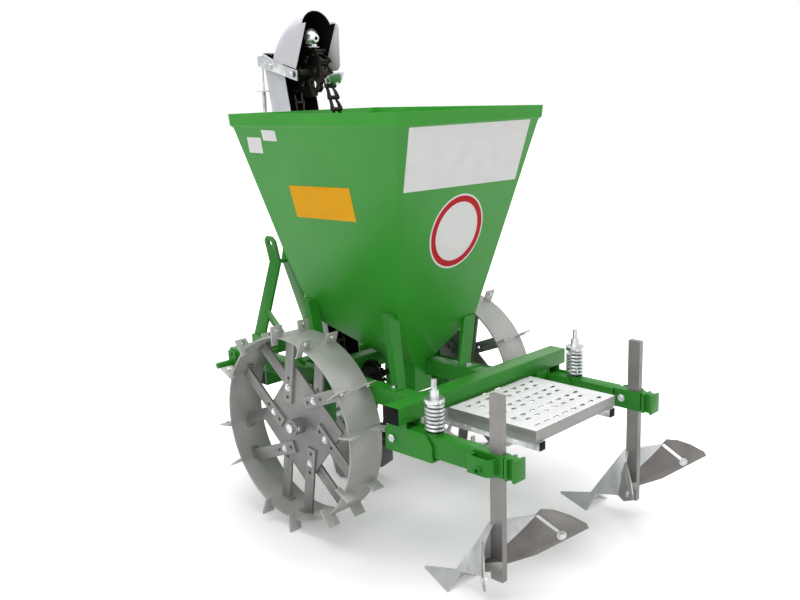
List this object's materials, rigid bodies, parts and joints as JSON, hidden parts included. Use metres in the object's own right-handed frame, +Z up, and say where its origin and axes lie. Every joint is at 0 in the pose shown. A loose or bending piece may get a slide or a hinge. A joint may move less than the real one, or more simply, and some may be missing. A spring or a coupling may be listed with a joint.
{
  "type": "potato planter",
  "caption": "Tractor mounted potato planter with a tapered hopper, cup elevator, lugged steel wheels, sprung ridger arms and a standing platform",
  "frame": {"origin": "centre of the footprint of the whole machine's box, on the ground under the wheels", "axes": "+X right, +Y the direction of travel, +Z up; the wheel axle is parallel to X"},
  "size_m": [1.1474, 1.4748, 1.6442],
  "materials": {
    "green_paint": "glossy green paint",
    "wheel_steel": "silver grey paint",
    "pale_steel": "pale grey paint",
    "ridger_steel": "bright grey steel",
    "zinc_plate": "zinc plated",
    "black_plastic": "black plastic",
    "dark_chain": "dark oiled steel",
    "black_paint": "black paint"
  },
  "bodies": {
    "frame": {"rear_beam": "green_paint", "left_rail": "green_paint", "right_rail": "green_paint", "cross_beams": "green_paint", "neck_tube": "green_paint", "opener_beam": "green_paint", "tube_caps": "black_plastic", "mast_uprights": "green_paint", "mast_stays": "green_paint", "lower_link_brackets": "green_paint", "lower_link_pins": "green_paint", "hopper": "green_paint", "hopper_posts": "green_paint", "cup_chain": "dark_chain", "cups": "zinc_plate", "elevator_shafts": "dark_chain", "drive_sprocket": "black_plastic", "drive_chain": "dark_chain", "elevator_channel": "pale_steel", "elevator_hood": "pale_steel", "chain_guard": "wheel_steel", "tension_strap": "zinc_plate", "tension_spring": "zinc_plate", "opener": "wheel_steel", "platform": "zinc_plate", "platform_arms": "zinc_plate", "arm_brackets": "green_paint", "pivot_bolts": "zinc_plate", "spring_rods": "zinc_plate", "spring_left": "zinc_plate", "spring_right": "zinc_plate", "axle_bearings": "green_paint"},
    "wheelset": {"axle": "zinc_plate", "wheel_rim_left": "wheel_steel", "wheel_rim_right": "wheel_steel", "wheel_spokes_left": "wheel_steel", "wheel_spokes_right": "wheel_steel"},
    "left_arm": {"arm_left": "green_paint", "hiller_shank_left": "ridger_steel", "hiller_nose_left": "ridger_steel", "hiller_wings_left": "ridger_steel"},
    "right_arm": {"arm_right": "green_paint", "hiller_shank_right": "ridger_steel", "hiller_nose_right": "ridger_steel", "hiller_wings_right": "ridger_steel"}
  },
  "joints": [
    {"name": "wheel_roll", "type": "hinge", "parent": "frame", "child": "wheelset", "pos_m": [0, 0.1744, 0.336], "axis": [1, 0, 0], "continuous": true},
    {"name": "left_arm_lift", "type": "hinge", "parent": "frame", "child": "left_arm", "pos_m": [-0.345, -0.2386, 0.392], "axis": [-1, 0, 0], "range_deg": [0, 10], "stiffness_Nm_per_rad": 150, "springref_deg": -20.05, "deforming": ["spring_left"]},
    {"name": "right_arm_lift", "type": "hinge", "parent": "frame", "child": "right_arm", "pos_m": [0.345, -0.2386, 0.392], "axis": [-1, 0, 0], "range_deg": [0, 10], "stiffness_Nm_per_rad": 150, "springref_deg": -20.05, "deforming": ["spring_right"]}
  ]
}
